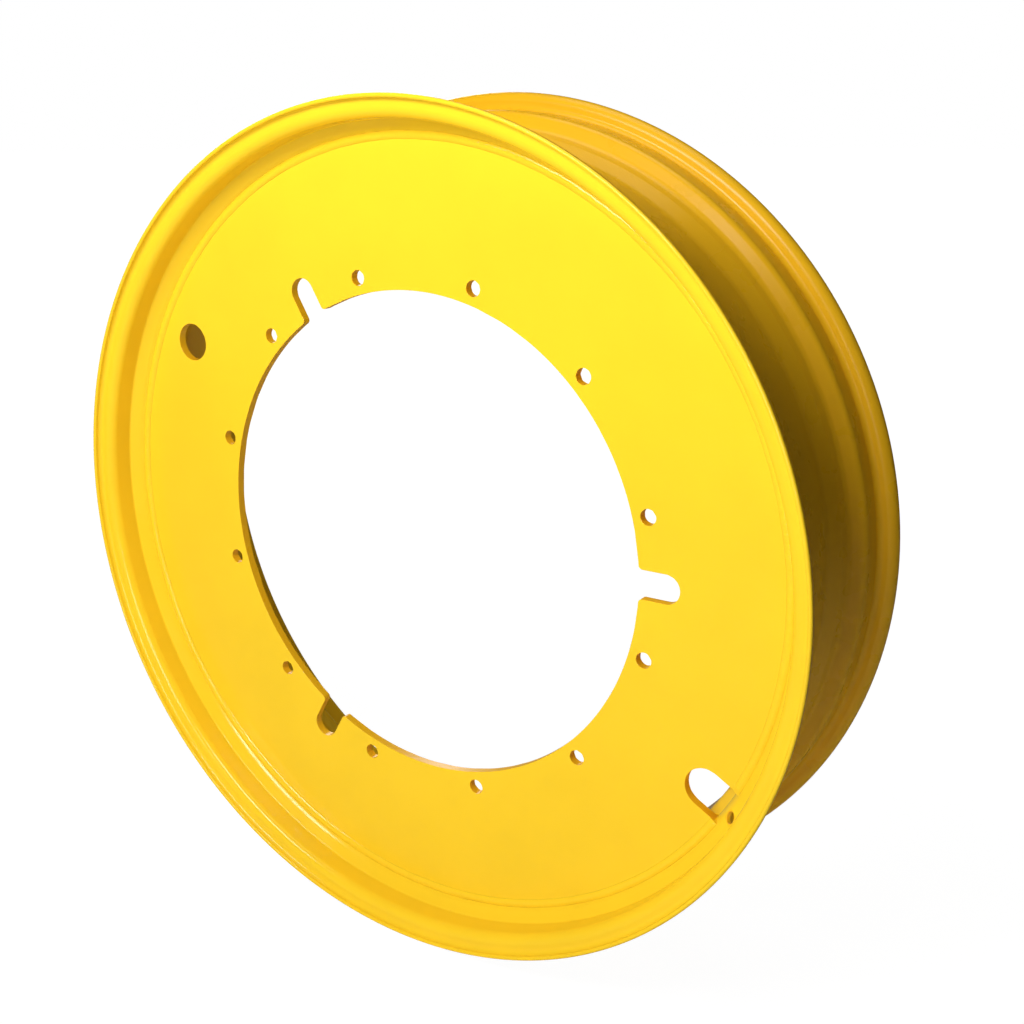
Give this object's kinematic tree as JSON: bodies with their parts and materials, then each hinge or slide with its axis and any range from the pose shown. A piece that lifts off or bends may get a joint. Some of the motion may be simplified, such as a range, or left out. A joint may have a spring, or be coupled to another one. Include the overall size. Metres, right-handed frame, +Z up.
{
  "type": "tractor wheel",
  "caption": "Steel farm tractor wheel without tyre: rolled drop-centre rim with a flat welded disc, ring of bolt holes, open slots, hand hole and valve notch, in yellow paint.",
  "frame": {"origin": "on the axle, in the front face of the disc, which is the centre of the bolt circle", "axes": "+Y along the axle towards the tractor, -Y towards the viewer of the front, +Z up, +X to the right seen from the front"},
  "size_m": [1.2192, 0.3134, 1.2192],
  "materials": {
    "yellow_paint": "gloss"
  },
  "bodies": {
    "root": {"rim": "yellow_paint", "wheel_disc": "yellow_paint", "front_weld": "yellow_paint", "rear_weld": "yellow_paint"}
  },
  "joints": []
}
